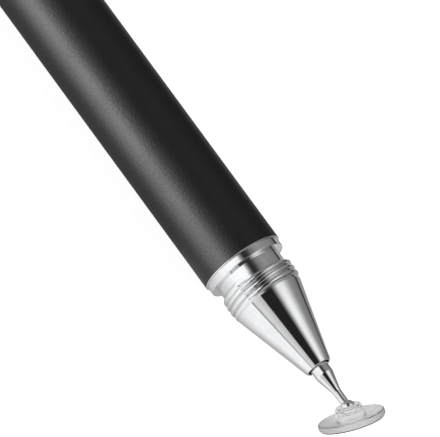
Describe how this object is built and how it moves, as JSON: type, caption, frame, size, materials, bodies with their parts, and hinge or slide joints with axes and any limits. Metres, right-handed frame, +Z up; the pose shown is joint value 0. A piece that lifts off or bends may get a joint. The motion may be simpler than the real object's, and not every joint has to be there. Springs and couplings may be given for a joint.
{
  "type": "stylus pen",
  "caption": "Slim stylus pen: black metal barrel, chrome nose cone with a cap thread, and a sprung, ball-jointed pin that carries a clear touch disc.",
  "frame": {"origin": "on the surface that the pen lies on, under the middle of its length", "axes": "+X along the pen towards the tip, +Z up, the pen's axis 4.5 mm above the origin"},
  "size_m": [0.1398, 0.009, 0.009],
  "materials": {
    "black_anodised": "satin black anodised",
    "chrome_plate": "polished chrome plate on brass",
    "polished_steel": "polished steel",
    "turned_brass": "plain turned",
    "spring_steel": "drawn wire",
    "black_rubber": "moulded",
    "clear_plastic": "clear moulded polycarbonate",
    "clear_film": "clear conductive film"
  },
  "bodies": {
    "pen": {"barrel": "black_anodised", "front_bush": "turned_brass", "rear_bush": "turned_brass", "collar_ring": "chrome_plate", "tail_ring": "chrome_plate", "nose_o_ring": "black_rubber", "tail_o_ring": "black_rubber", "thread_collar": "chrome_plate", "nose_cone": "chrome_plate", "guide_bush": "turned_brass", "spring_plug": "turned_brass", "tip_spring": "spring_steel", "tail_plug": "chrome_plate"},
    "plunger": {"spring_cup": "turned_brass"},
    "needle": {"ball_pin": "polished_steel"},
    "disc": {"touch_disc": "clear_plastic", "contact_film": "clear_film"}
  },
  "joints": [
    {"name": "tip_press", "type": "slide", "parent": "pen", "child": "plunger", "axis": [-1, 0, 0], "range_m": [0, 0.0008], "stiffness_N_per_m": 400, "springref_m": -0.0012, "deforming": ["tip_spring"]},
    {"name": "pin_spin", "type": "hinge", "parent": "plunger", "child": "needle", "pos_m": [0.06667, 0, 0.0045], "axis": [1, 0, 0], "continuous": true},
    {"name": "disc_tilt", "type": "hinge", "parent": "needle", "child": "disc", "pos_m": [0.06667, 0, 0.0045], "axis": [0, -1, 0], "range_deg": [0, 66]}
  ]
}
